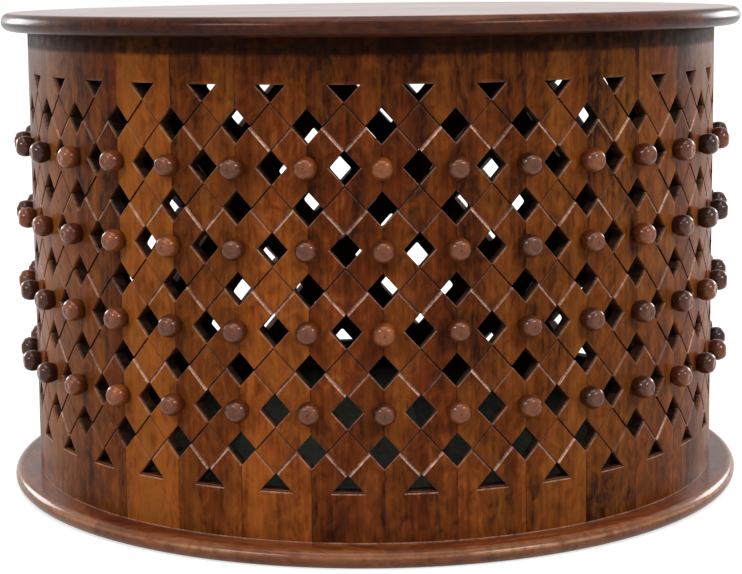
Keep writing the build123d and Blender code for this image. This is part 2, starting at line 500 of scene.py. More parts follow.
@cache
def handled_and_painted_finish() -> bpy.types.NodeTree:
    """The shader group of use and painted light: stain rubbed off and painted highlights in places, dirt and
    painted shade in others, and an uneven polish.

    Returns:
        The group.
    """
    inputs = {
        "Color": MIDDLE_WOOD,
        "Vector": "NodeSocketVector",
        "Worn And Lit": 0.0,
        "Worn And Lit Color": RUBBED_AND_LIT_WOOD,
        "Dirt And Shade": 0.0,
        "Dirt And Shade Color": DIRT_AND_SHADE,
        "Chips": 1.0,
        "Roughness": 0.35,
    }
    outputs = {"Color": "NodeSocketColor", "Roughness": "NodeSocketFloat"}
    graph = Group("Handled finish with painted light", "ShaderNodeTree", inputs, outputs)
    given = graph.given
    patches = graph.noise(given("Vector"), 95.0, 4.0)
    scuffs = graph.noise(given("Vector"), 420.0, 2.0)
    cloud = graph.noise(given("Vector"), 14.0, 2.0)
    chips = 1 - graph.ramp(scuffs, 0.34, 0.52, 0.6, 0.0) * given("Chips")
    # besides real wear and dirt, the worn mask carries painted highlights and the dirt mask painted shade
    worn = given("Worn And Lit") * graph.ramp(patches, 0.34, 0.56, 0.35, 1.0) * chips
    dirt = given("Dirt And Shade") * graph.ramp(patches, 0.25, 0.6, 0.6, 1.0)
    colour = graph.blend(worn, given("Color"), given("Worn And Lit Color"))
    colour = graph.blend(dirt, colour, given("Dirt And Shade Color"))
    rough = given("Roughness") + (cloud - 0.5) * 0.16 + dirt * 0.3 + worn * 0.1
    graph.add("NodeGroupOutput", {"Color": colour, "Roughness": rough})
    return graph.tree


@dataclass(frozen=True)
class WoodFinish:
    """A stained and lacquered wood. The hooks toned, wear and polish say how it changes over a piece."""

    name: str
    space: GrainSpace = GrainSpace.PIECE
    seed: float = 0.0
    seed_step: float = 0.0
    light: Colour = LIGHT_WOOD
    golden: Colour = GOLDEN_WOOD
    middle: Colour = MIDDLE_WOOD
    dark: Colour = DARK_WOOD
    worn: Colour = RUBBED_AND_LIT_WOOD
    chips: float = 1.0
    tone: float = 0.5
    warmth: float = 0.3
    figure: float = 1.0
    roughness: float = 0.34
    gloss: float = 0.035
    coat: float = 0.0
    coat_roughness: float = 0.12
    bump: float = 0.12
    relief: float = 0.4 * MM

    def toned(self, graph: Graph) -> Any:
        """How light the wood is: one number, or one that each made piece carries."""
        return self.tone if self.space is GrainSpace.TABLE else graph.attribute("tone") + self.tone

    def wear(self, graph: Graph) -> tuple[Any, Any]:
        """Where the finish is rubbed lighter and where it carries painted highlights, and where dirt and
        painted shade darken it; only a made piece has any.

        Args:
            graph: The material's tree.

        Returns:
            The two masks, 0 to 1.
        """
        if self.space is GrainSpace.TABLE:
            return 0.0, 0.0
        # darker deeper into the holes' walls and all over the inside face
        inside = graph.ramp(graph.attribute("depth"), 0.04, 0.3, 0.0, 0.97)
        return graph.attribute("worn"), graph.attribute("dirt").at_least(inside)

    def polish(self, graph: Graph) -> Any:
        """How much lacquer lies on the wood."""
        return self.coat

    def material(self, turn: Triple = (0.0, 0.0, 0.0), index: int = 0) -> bpy.types.Material:
        """Builds the finish.

        Args:
            turn: The turn that lays the grain along Z, for wood that reads the table's coordinates.
            index: The piece's number in its row, which sets its figure apart from the next.

        Returns:
            The material.
        """
        material = bpy.data.materials.new(self.name)
        graph = cleared(material)
        warmth: Any = self.warmth
        if self.space is GrainSpace.PIECE:
            grain = graph.attribute("grain", "Vector")
            warmth = graph.attribute("warmth") + self.warmth
        else:
            grain = graph.first("ShaderNodeMapping", {"Vector": graph.spot(), "Rotation": turn})
        worn, dirt = self.wear(graph)
        inputs = {
            "Vector": grain,
            "Seed": self.seed + index * self.seed_step,
            "Tone": self.toned(graph),
            "Warmth": warmth,
            **sizes(self, "light", "golden", "middle", "dark", "figure"),
        }
        wood = graph.add("ShaderNodeGroup", inputs, node_tree=wood_grain()).outputs
        inputs = {
            "Color": wood["Color"],
            "Vector": grain,
            "Worn And Lit": worn,
            "Worn And Lit Color": self.worn,
            "Dirt And Shade": dirt,
            **sizes(self, "chips", "roughness"),
        }
        handled_and_painted = graph.add("ShaderNodeGroup", inputs, node_tree=handled_and_painted_finish()).outputs
        inputs = {"Strength": self.bump, "Distance": self.relief, "Height": wood["Height"]}
        inputs = {
            "Base Color": handled_and_painted["Color"],
            "Roughness": handled_and_painted["Roughness"],
            "Normal": graph.first("ShaderNodeBump", inputs),
            "Specular IOR Level": self.gloss,
            "Coat Weight": self.polish(graph),
            "Coat Roughness": self.coat_roughness,
        }
        shader = graph.first("ShaderNodeBsdfPrincipled", inputs)
        graph.add("ShaderNodeOutputMaterial", {"Surface": shader})
        return material


@dataclass(frozen=True)
class StaveFinish(WoodFinish):
    """The staves' wood, with the marks that keep to fixed places on a stave, in lattice units: wear, dirt,
    painted highlights and painted shade.
    """

    tile_edge: float = 0.561
    ribbon: float = 0.118
    rows_end: float = 10.0
    ledge_width: float = 0.462
    ledge_bottom: float = -0.062
    ledge_rub: float = 0.5
    ledge_shadow: float = 0.85
    foot_arris: float = -1.266
    foot_rub: float = 0.55
    foot_span: tuple[float, float] = (-0.7, 0.6)
    seam: float = 0.984
    seam_dirt: float = 0.5
    # painted shade under the top: a gradual darkening towards the head, a dark shadow band just under the
    # top, and the tone falling towards the head
    head_span: tuple[float, float] = (9.2, 10.5)
    head_dirt: float = 0.26
    band_span: tuple[float, float] = (10.6, 10.74)
    band_dirt: float = 0.96
    head_shade_fall_span: tuple[float, float] = (2.0, 10.6)
    head_shade_fall: tuple[float, float] = (0.03, -0.09)

    def toned(self, graph: Graph) -> Field:
        """Darkens a stave towards its head with painted shade under the top, and some staves towards their
        foot as their stain does, on top of their own tone.

        Args:
            graph: The material's tree.

        Returns:
            The tone.
        """
        _, along, _ = graph.parts(graph.attribute("place", "Vector"))
        foot = graph.attribute("foot_tone") * graph.ramp(along, *self.foot_span, 1.0, 0.0)
        return super().toned(graph) + graph.ramp(along, *self.head_shade_fall_span, *self.head_shade_fall) + foot

    def wear(self, graph: Graph) -> tuple[Field, Field]:
        """Adds the rubbed ledges and foot, the ribbons' painted highlights, the dark seams, and the painted
        shadows under the ledges and under the top.

        Args:
            graph: The material's tree.

        Returns:
            The masks of rubbed finish with painted highlights, and of dirt with painted shade, 0 to 1.
        """
        worn, dirt = super().wear(graph)
        across, along, _ = graph.parts(graph.attribute("place", "Vector"))
        across = abs(across)
        on_face = graph.attribute("depth").below(0.02)
        past = across + abs(along % 2 - 1) - self.tile_edge
        in_rows = (along % 2).below(1) * along.above(0) * along.below(self.rows_end)
        # the ribbons under the tiles: a painted highlight, as strong as each tile's drawn share
        ribbon = past.above(0.004) * past.below(self.ribbon) * in_rows
        lip = along.above(self.ledge_bottom) * along.below(0.0) * across.below(self.ledge_width)
        ledge = lip * along.below(self.ledge_bottom * 0.5) * self.ledge_rub
        shadow = lip * along.above(self.ledge_bottom * 0.5) * self.ledge_shadow
        foot = along.below(self.foot_arris) * self.foot_rub
        seam = across.above(self.seam) * self.seam_dirt
        # painted shade darkening towards the head, and a dark painted shadow band just under the top
        head = graph.ramp(along, *self.head_span, 0.0, self.head_dirt)
        head = head.at_least(graph.ramp(along, *self.band_span, 0.0, self.band_dirt))
        rubbed = (ribbon * graph.attribute("rubbed")).at_least(ledge).at_least(foot)
        seam_dirt_and_shade = seam.at_least(head).at_least(shadow)
        return worn.at_least(rubbed * on_face), (dirt * (1 - ribbon * on_face)).at_least(seam_dirt_and_shade * on_face)


@dataclass(frozen=True)
class RimFinish(WoodFinish):
    """A round board's wood, whose edge is rubbed lighter, most of all along its arris, and carries a painted
    highlight band, a painted reflection line and painted shade at the floor.
    """

    space: GrainSpace = GrainSpace.TABLE
    worn: Colour = stain(198, 144, 102)
    chips: float = 0.0
    arris: float = 374.4 * MM
    line: float = 0.9 * MM
    edge_rub: float = 0.2
    upper_above: float = 8 * MM
    upper_rub: float = 0.35
    # a painted highlight band on the edge
    highlight_band: float = 11.2 * MM
    highlight_band_lines: float = 3.0
    band_highlight: float = 0.75
    # a painted reflection line low on the edge
    reflection_line: float = 3.4 * MM
    reflection_strength: float = 0.55
    # painted shade darkening the edge towards the floor
    floor_dirt: float = 0.8
    floor_reach: float = 3 * MM

    def wear(self, graph: Graph) -> tuple[Field, Field]:
        """Rubs the edge and paints a highlight band and a reflection line on it and shade towards the floor,
        from the distance to the board's middle and the height.

        Args:
            graph: The material's tree.

        Returns:
            The masks of rubbed finish with painted highlights, and of painted shade, 0 to 1.
        """
        x, y, z = graph.place()
        away = (x * x + y * y).root()
        uneven = graph.ramp(graph.noise(graph.vector(x, y, 0), 7.0, 1.0), 0.4, 0.6, 0.4, 1.0)
        edge = graph.ramp(away, self.arris, self.arris + self.line, 0.0, self.edge_rub)
        upper = away.near(self.arris, self.line) * z.above(self.upper_above) * self.upper_rub
        # a painted highlight band along the edge
        highlight_band = z.near(self.highlight_band, self.line * self.highlight_band_lines) * away.above(self.arris) * self.band_highlight
        # a painted reflection line low on the edge
        lower = z.near(self.reflection_line, self.line) * self.reflection_strength
        rubbed = edge.at_least(upper).at_least(highlight_band).at_least(lower) * uneven
        # with painted shade darkening towards the floor
        return rubbed, graph.ramp(z, 0.0, self.floor_reach, self.floor_dirt, 0.0)


@dataclass(frozen=True)
class TopFinish(WoodFinish):
    """The top's wood: a polished face, and an edge with far less lacquer."""

    space: GrainSpace = GrainSpace.TABLE
    face_span: tuple[float, float] = (484.1 * MM, 484.9 * MM)
    edge_coat: float = 0.12
    # the face is lighter than the edge, partly a painted sheen
    face_tone_and_sheen: float = 0.36

    def on_face(self, graph: Graph) -> Field:
        """One on the flat face and none on the edge."""
        return graph.ramp(graph.place()[2], *self.face_span)

    def toned(self, graph: Graph) -> Field:
        """Makes the face lighter than the edge, partly a painted sheen."""
        return self.on_face(graph) * self.face_tone_and_sheen + self.tone

    def polish(self, graph: Graph) -> Field:
        """How much lacquer lies on the face and on the edge."""
        return self.on_face(graph) * (self.coat - self.edge_coat) + self.edge_coat


@dataclass(frozen=True)
class KnobFinish(WoodFinish):
    """Turned wood, with the lathe's centre mark dark on some of the knobs."""

    marked_above: float = 0.7
    mark_dirt: float = 0.85

    def wear(self, graph: Graph) -> tuple[Field, Field]:
        """The masks of the rubbed face with its painted highlight ring, and of the painted shade towards the
        foot and the dirt in the mark.
        """
        mark = graph.attribute("centre") * graph.attribute("marked").above(self.marked_above)
        return graph.attribute("worn") * (1 - mark), graph.attribute("dirt").at_least(mark * self.mark_dirt)


@dataclass(frozen=True)
class BoardedFinish(WoodFinish):
    """Boards side by side in one sheet, each of its own tone."""

    space: GrainSpace = GrainSpace.TABLE
    width: float = 674 * MM / 7
    first_edge: float = -337 * MM
    spread: float = 0.5

    def toned(self, graph: Graph) -> Field:
        """Gives each board its own tone."""
        board = ((graph.place()[0] - self.first_edge) / self.width).floored()
        return (graph.drawn("1D", W=board) - 0.5) * self.spread + self.tone


@dataclass(frozen=True)
class SteelFinish:
    """Plain zinc-plated steel with turning marks."""

    name: str = "screw_steel_brushed"
    colour: Colour = stain(176, 174, 168)
    shade: Colour = stain(120, 116, 108)
    roughness: float = 0.36
    bump: float = 0.15
    relief: float = 0.1 * MM

    def material(self) -> bpy.types.Material:
        """Builds the finish.

        Returns:
            The material.
        """
        material = bpy.data.materials.new(self.name)
        graph = cleared(material)
        marks = graph.noise(graph.spot(), 900.0, 3.0)
        bump = {"Strength": self.bump, "Distance": self.relief, "Height": marks}
        inputs = {
            "Base Color": graph.blend(graph.ramp(marks, 0.35, 0.7), self.colour, self.shade),
            "Metallic": 1.0,
            "Roughness": (marks - 0.5) * 0.2 + self.roughness,
            "Normal": graph.first("ShaderNodeBump", bump),
        }
        shader = graph.first("ShaderNodeBsdfPrincipled", inputs)
        graph.add("ShaderNodeOutputMaterial", {"Surface": shader})
        return material


# ---- the drum ----------------------------------------------------------------------------------------


class Shade(Enum):
    """How light and how golden a stave's wood came out of the stain, and how much darker its foot."""

    HONEY = (0.36, 0.05, 0.0)
    TAWNY = (0.04, 0.3, -0.12)
    OLIVE = (-0.24, 0.5, -0.2)
    AMBER = (0.08, -0.05, 0.0)
    RUSSET = (-0.17, -0.12, 0.0)
    CHESTNUT = (-0.12, 0.1, 0.0)
    UMBER = (-0.14, 0.1, 0.0)
    SMOKE = (-0.14, 0.15, 0.0)


def nearest_even(value: Field) -> Field:
    """The nearest even number: on both diagonals, the middle of the nearest hole."""
    return (value * 0.5).rounded() * 2


def hole_distance(i: Field, j: Field) -> Field:
    """How far a place is from the middle of the nearest hole, in lattice units."""
    up, down = (abs(value - nearest_even(value)) for value in (i + j, j - i))
    return up.at_least(down)


def hole_height(i: Field, j: Field) -> Field:
    """How far up the lattice the middle of the nearest hole is."""
    up, down = ((value * 0.5).rounded() for value in (i + j, j - i))
    return up + down


@dataclass
class PiercedDrum:
    """The drum: staves with a carved lattice, built in lattice units of half a stave by half a row."""

    radius: float = 355 * MM
    inner_flat: float = 340 * MM
    stave_count: int = 34
    foot: float = 16 * MM
    lattice_bottom: float = 63 * MM
    half_row: float = 36.25 * MM
    half_rows: int = 10
    head: float = 467 * MM
    hole: float = 0.439
    hole_inside: float = 0.472
    rounding: float = 0.034
    rounding_depth: float = 0.55 * MM
    cut_step: float = 0.012
    lower_cut_width: float = 0.1
    lower_cut_depth: float = 2.7 * MM
    upper_cut_width: float = 0.068
    upper_cut_depth: float = 1.7 * MM
    corner: float = 0.11
    wander: float = 0.35 * MM
    front: float = -90.0
    crease: float = 32.0
    wander_scale: float = 1.1
    wander_step: float = 7.31
    grain_step: float = 0.37
    edge_rounding: float = 0.6
    # rubbed arrises, with painted highlights on the holes' lower edges, the up-facing cuts and the ribbons,
    # the last drawn brighter on some tiles
    hole_rub: float = 0.12
    lower_hole_highlight: float = 0.3
    edge_rub: float = 0.2
    cut_highlight: float = 0.16
    ribbon_draw_span: tuple[float, float] = (0.1, 0.75)
    least_rubbed: float = 0.12
    # the staves across the front, from left to right
    first_shaded: int = 28
    front_shades: tuple[Shade, ...] = (
        *(Shade.TAWNY, Shade.TAWNY, Shade.UMBER, Shade.HONEY, Shade.SMOKE, Shade.AMBER, Shade.RUSSET),
        *(Shade.RUSSET, Shade.CHESTNUT, Shade.TAWNY, Shade.OLIVE, Shade.TAWNY, Shade.SMOKE, Shade.TAWNY),
    )
    finish: StaveFinish = StaveFinish("stave_wood_stained")

    # the sheet reaches this many lattice units past each end of the rows
    MARGIN = 3
    TINY = 1e-4

    def breaks(self, tree: GeometryTree) -> list[Any]:
        """Where the mesh lines stand between a tile's middle and that of the hole or arm beside it.

        Args:
            tree: The tree that the numbers flow through.

        Returns:
            The places, from 0 to 1.
        """
        edge = 1 - tree.given("Hole")
        rounding, width = tree.given("Rounding"), tree.given("Lower Cut Width")
        return [
            0.0,
            edge * 0.34,
            edge * 0.66,
            edge - tree.given("Upper Cut Width"),
            edge - rounding,
            edge - rounding * 0.4,
            edge,
            edge + tree.given("Cut Step"),
            edge + width * 0.5,
            edge + width,
            (edge + width + 1) * 0.5,
            1.0,
        ]

    def tree(self) -> GeometryTree:
        """The tree that makes one stave.

        Returns:
            The Geometry Nodes tree.
        """
        names = "radius inner_flat foot lattice_bottom half_row head hole hole_inside rounding rounding_depth"
        cuts = "cut_step lower_cut_width lower_cut_depth upper_cut_width upper_cut_depth corner wander"
        own = {"Half Angle": math.pi / self.stave_count, "Turn": 0.0, "Seed": 0}
        look = {"Tone": 0.0, "Warmth": 0.0, "Foot Tone": 0.0}
        tree = GeometryTree("Pierced stave", {**sizes(self, *names.split(), *cuts.split()), **own, **look})
        given = tree.given
        breaks = self.breaks(tree)
        steps = len(breaks) - 1
        count = (self.half_rows + 2 * self.MARGIN) * steps + 1

        # a square sheet whose lines run along the lattice's diagonals
        sheet = tree.grid(count, count)
        flat_x, flat_y, _ = tree.position()

        def diagonal(flat: Field) -> Field:
            """The lattice coordinate of a mesh line.

            Args:
                flat: The line's place in the sheet.

            Returns:
                The coordinate.
            """
            line = ((flat + 0.5) * (count - 1)).rounded()
            unit = (line / steps).floored()
            back = unit % 2
            place = line - unit * steps
            share = tree.listed(place + back * (steps - place * 2), breaks)
            return unit + share + back * (1 - share * 2) - self.MARGIN

        up, down = diagonal(flat_x), diagonal(flat_y)
        low = (given("Foot") - given("Lattice Bottom")) / given("Half Row")
        high = (given("Head") - given("Lattice Bottom")) / given("Half Row")
        across = ((up - down) * 0.5).at_least(-1).at_most(1)
        along = ((up + down) * 0.5).at_least(low).at_most(high)
        sheet = tree.placed(sheet, tree.vector(across, along, 0))
        # halved along the rows, so that a row's line can end a hole
        sheet = tree.first("GeometryNodeTriangulate", {"Mesh": sheet}, quad_method="FIXED_ALTERNATE")

        # what lies past the seams, the foot or the head has no area left, and the holes are open
        area = Field(tree, tree.first("GeometryNodeInputMeshFaceArea"))
        i, j, _ = tree.position()
        inside = hole_distance(i, j).below(given("Hole")) * j.above(0) * j.below(self.half_rows)
        for gone in (area.below(1e-7), inside):
            inputs = {"Geometry": sheet, "Selection": gone}
            sheet = tree.first("GeometryNodeDeleteGeometry", inputs, domain="FACE")
        sheet = tree.merged(sheet, 1e-6)
        tree.close(self.thickened(tree, self.carved(tree, sheet)))
        return tree

    def in_rows(self, j: Field) -> Field:
        """One between the lattice's ends and zero past them."""
        return j.above(-self.TINY) * j.below(self.half_rows + self.TINY)

    def carved(self, tree: GeometryTree, sheet: Any) -> Any:
        """Keeps on the sheet how deep each place is carved and what the finish reads.

        Args:
            tree: The tree.
            sheet: The flat sheet.

        Returns:
            The sheet with its attributes.
        """
        given = tree.given
        i, j, _ = tree.position()
        in_rows = self.in_rows(j)

        # under a plain tile the cut drops straight at the tile and slopes up to the arm, and over it
        # it slopes down the tile and ends in a straight wall at the arm
        past = abs(i) + abs(j % 2 - 1) - (1 - given("Hole"))
        beyond = past.above(given("Cut Step") * 0.5)
        on_tile = 1 - beyond
        below_tile = (j % 2).below(1)
        lower = (1 - past / given("Lower Cut Width")).clamped() * beyond * below_tile * in_rows
        upper = (1 + past / given("Upper Cut Width")).clamped() * on_tile * (1 - below_tile) * in_rows
        drop = lower * given("Lower Cut Depth") + upper * given("Upper Cut Depth")
        # rounded arrises at the holes and at the tiles' edges
        near_hole = (1 - (hole_distance(i, j) - given("Hole")) / given("Rounding")).clamped() * in_rows
        near_edge = (1 + past / given("Rounding")).clamped() * on_tile * below_tile * in_rows
        rounding = near_hole * near_hole + near_edge * near_edge * self.edge_rounding
        drop = drop + rounding * given("Rounding Depth")
        # hand work: the face wanders by a tenth of a millimetre
        scale, shift = self.wander_scale, given("Seed") * self.wander_step
        drop = drop + tree.noise(tree.vector(i * scale + shift, j * scale, 0), 1.0, 2.0) * given("Wander")

        # the cuts that face up carry a painted highlight, brighter on one tile than on the next, the holes'
        # lower edges do too, the arrises are rubbed, and the walls hold dirt and painted shade
        ribbon_draw = tree.drawn("3D", Vector=tree.vector(given("Seed"), (j * 0.5).floored(), i.above(0)))
        # a painted highlight on the holes' lower edges, which face up, over the rubbed arris all round
        below_hole = (j - hole_height(i, j)).below(0)
        worn = near_hole * (below_hole * self.lower_hole_highlight + self.hole_rub)
        across = i * (given("Radius") * given("Half Angle"))
        height = given("Lattice Bottom") + given("Half Row") * j
        sheet = tree.stored(
            sheet,
            tone=given("Tone"),
            warmth=given("Warmth"),
            foot_tone=given("Foot Tone"),
            worn=worn.at_least(near_edge * self.edge_rub).at_least(upper.above(0.01) * self.cut_highlight),
            # the tiles' walls in the cuts: dirt and painted shade
            dirt=past.above(-self.TINY) * past.below(given("Cut Step") * 1.5) * in_rows,
            rubbed=tree.ramp(ribbon_draw, *self.ribbon_draw_span, self.least_rubbed, 1.0),
        )
        grain = tree.vector(across + given("Seed") * self.grain_step, 0, height)
        return tree.stored(sheet, "FLOAT_VECTOR", grain=grain, place=tree.vector(i, j, drop))

    def bent(self, tree: GeometryTree, i: Field, j: Field, reach: Field) -> bpy.types.NodeSocket:
        """A lattice place laid round the drum, at a distance from its axis."""
        angle = tree.given("Turn") + tree.given("Half Angle") * i
        return tree.polar(reach, angle, tree.given("Lattice Bottom") + tree.given("Half Row") * j)

    def thickened(self, tree: GeometryTree, sheet: Any) -> Any:
        """Bends the sheet round the drum and gives it a flat inside, with the holes' walls between.

        Args:
            tree: The tree.
            sheet: The carved sheet.

        Returns:
            The closed stave.
        """
        given = tree.given
        place = tree.first("GeometryNodeInputNamedAttribute", {"Name": "place"}, data_type="FLOAT_VECTOR")
        i, j, drop = tree.parts(place)
        face = tree.placed(sheet, self.bent(tree, i, j, given("Radius") - drop))

        # the holes are a little wider at the back, and the lattice between them narrower
        in_rows = self.in_rows(j)
        up, down = (self.widened(tree, value) for value in self.eased(tree, i + j, j - i))
        i = i + ((up - down) * 0.5 - i) * in_rows
        j = j + ((up + down) * 0.5 - j) * in_rows
        inner = given("Inner Flat") / (given("Half Angle") * i).cosine()
        back = tree.first("GeometryNodeFlipFaces", {"Mesh": face})
        inputs = {"Mesh": back, "Offset Scale": 0.0, "Individual": False}
        deep = tree.add("GeometryNodeExtrudeMesh", inputs, mode="FACES").outputs
        back = tree.placed(deep[0], self.bent(tree, i, j, inner), deep["Top"])
        back = tree.stored(back, depth=deep["Top"])
        joined = tree.add("GeometryNodeJoinGeometry")
        for half in (back, face):
            tree.tree.links.new(half, joined.inputs[0])
        return tree.merged(joined.outputs[0], 0.002 * MM)

    def eased(self, tree: GeometryTree, up: Field, down: Field) -> tuple[Field, Field]:
        """The lattice coordinates at the back, where the holes' corners are rounded.

        Args:
            tree: The tree that the numbers flow through.
            up, down: The coordinates on the face.

        Returns:
            The coordinates at the back.
        """
        hole, corner = tree.given("Hole"), tree.given("Corner")
        middles = [nearest_even(value) for value in (up, down)]
        away = [abs(value - middle) for value, middle in zip((up, down), middles)]
        start = hole - corner
        largest = away[0].at_least(away[1])
        on_outline = largest.above(hole - 0.002) * largest.below(hole + 0.002)
        turn = ((away[0].at_most(away[1]) - start) / corner).clamped() * on_outline
        share = 1 / (turn * turn + 1).root()
        moved = [start + (value - start) * share for value in away]
        signs = [(value - middle).sign() for value, middle in zip((up, down), middles)]
        return tuple(middle + sign * value for middle, sign, value in zip(middles, signs, moved))

    def widened(self, tree: GeometryTree, value: Field) -> Field:
        """A lattice coordinate at the back, where each hole has spread evenly from its middle.

        Args:
            tree: The tree that the numbers flow through.
            value: The coordinate before.

        Returns:
            The coordinate after.
        """
        front, back = tree.given("Hole"), tree.given("Hole Inside")
        middle = nearest_even(value)
        away = abs(value - middle)
        within = away.at_most(front) * back / front
        past = (away - front).at_least(0) * (1 - back) / (1 - front)
        return middle + (value - middle).sign() * (within + past)

    def build(self) -> None:
        """Makes every stave and puts each in the place of its CAD node."""
        tree = self.tree()
        material = self.finish.material()
        pitch = 360 / self.stave_count
        draw = random.Random(self.stave_count)
        shades = dict(enumerate(self.front_shades))
        for number in range(1, self.stave_count + 1):
            place = (number - self.first_shaded) % self.stave_count
            shade = shades.get(place, draw.choice(list(Shade)))
            look = dict(zip(("tone", "warmth", "foot_tone"), shade.value))
            turn = math.radians(self.front + pitch * (number - 0.5))
            piece = tree.make(f"carved_stave_{number:02d}", material, turn=turn, seed=number, **look)
            on_drum(piece, self.crease, "stave_wood", f"stave_{number:02d}")


# ---- knobs and screws --------------------------------------------------------------------------------


@dataclass
class TurnedKnobs:
    """Rows of turned buttons on the seams between the staves."""

    radius: float = 355 * MM
    count: int = 34
    first_row: float = 135.5 * MM
    row_spacing: float = 72.5 * MM
    rows: int = 4
    segments: int = 24
    sunk: float = 0.25 * MM
    wander: float = 0.5 * MM
    tilt: float = 0.05
    smallest: float = 0.94
    face: float = 16 * MM
    rim: float = 6.2 * MM
    rim_width: float = 1.4 * MM
    mark: float = 1.0 * MM
    crease: float = 50.0
    # a painted highlight ring round the face, the face rubbed lighter, and painted shade darkening towards
    # the foot
    rim_highlight: float = 0.18
    face_rub: float = 0.14
    dirt_span: tuple[float, float] = (0.5 * MM, 15.0 * MM)
    foot_dirt: float = 0.95
    tones: tuple[float, float] = (-0.32, 0.3)
    warmths: tuple[float, float] = (-0.2, 0.4)
    # distance from the axis and height in millimetres, from the crown to the foot
    profile: tuple[tuple[float, float], ...] = (
        *((0.0, 16.8), (0.7, 16.9), (1.3, 17.3), (4.6, 17.25), (5.9, 17.1)),
        *((7.1, 16.5), (8.6, 15.2), (9.9, 13.2), (10.8, 10.6), (11.0, 8.0)),
        *((10.7, 5.2), (9.9, 2.6), (8.9, 0.9), (8.7, 0.0), (0.0, 0.0)),
    )
    finish: KnobFinish = KnobFinish(
        "knob_wood_turned",
        worn=stain(170, 108, 66),
        chips=0.4,
        tone=0.38,
        warmth=-0.1,
        figure=0.7,
        roughness=0.36,
        gloss=0.08,
        coat=0.5,
        bump=0.05,
    )

    def knob(self, tree: GeometryTree) -> Any:
        """One knob, turned from its profile, with its foot at the origin.

        Args:
            tree: The tree.

        Returns:
            The knob with what its finish reads.
        """
        rings = len(self.profile)
        sheet = tree.grid(tree.given("Segments") + 1, rings)
        flat_x, flat_y, _ = tree.position()
        ring = (flat_y + 0.5) * (rings - 1)
        # the profile runs from the crown to the foot, so the turn goes clockwise for faces that look out
        spin = (flat_x + 0.5) * -FULL_TURN
        out, up = (tree.listed(ring, [size * MM for size in side]) for side in zip(*self.profile))
        knob = tree.merged(tree.placed(sheet, tree.polar(out, spin, up)), 0.01 * MM)
        x, y, z = tree.position()
        away = (x * x + y * y).root()
        on_face = z.above(self.face)
        # a painted highlight ring round the face
        rim = away.near(self.rim, self.rim_width) * self.rim_highlight
        knob = tree.stored(knob, "FLOAT_VECTOR", grain=tree.first("GeometryNodeInputPosition"))
        # the knob darkens with painted shade towards its foot
        return tree.stored(
            knob,
            dirt=tree.ramp(z, *self.dirt_span, self.foot_dirt, 0.0),
            worn=(rim + self.face_rub) * on_face,
            centre=away.below(self.mark) * on_face,
        )

    def tree(self) -> GeometryTree:
        """The tree that makes one row of knobs.

        Returns:
            The Geometry Nodes tree.
        """
        inputs = {**sizes(self, "radius", "count", "first_row", "segments"), "Seed": 0}
        tree = GeometryTree("Knob row", inputs)
        given, chance = tree.given, tree.chance
        knob = self.knob(tree)
        points = tree.points(given("Count"))
        angle = tree.index() * FULL_TURN / given("Count") - QUARTER_TURN
        height = given("First Row") + chance(-self.wander, self.wander, 1)
        reach = given("Radius") - self.sunk
        points = tree.placed(points, tree.polar(reach, angle, height))
        tilt, lean = (chance(-self.tilt, self.tilt, number) for number in (2, 3))
        size = chance(self.smallest, 1.0, 4)
        turn = tree.vector(0, QUARTER_TURN + tilt, angle + lean)
        inputs = {
            "Points": points,
            "Instance": knob,
            "Rotation": tree.first("FunctionNodeEulerToRotation", {0: turn}),
            "Scale": tree.vector(size, size, 1.0),
        }
        row = tree.first("GeometryNodeInstanceOnPoints", inputs)
        look = {"tone": chance(*self.tones, 5), "warmth": chance(*self.warmths, 6), "marked": chance(0, 1, 7)}
        tree.close(tree.stored(row, domain="INSTANCE", **look))
        return tree

    def build(self) -> None:
        """Makes the rows and puts each in the place of its CAD node."""
        tree = self.tree()
        material = self.finish.material()
        for row in range(self.rows):
            height = self.first_row + self.row_spacing * row
            piece = tree.make(f"turned_knobs_{row + 1}", material, first_row=height, seed=row + 1)
            on_drum(piece, self.crease, "knob_wood", f"knobs_row_{row + 1}")


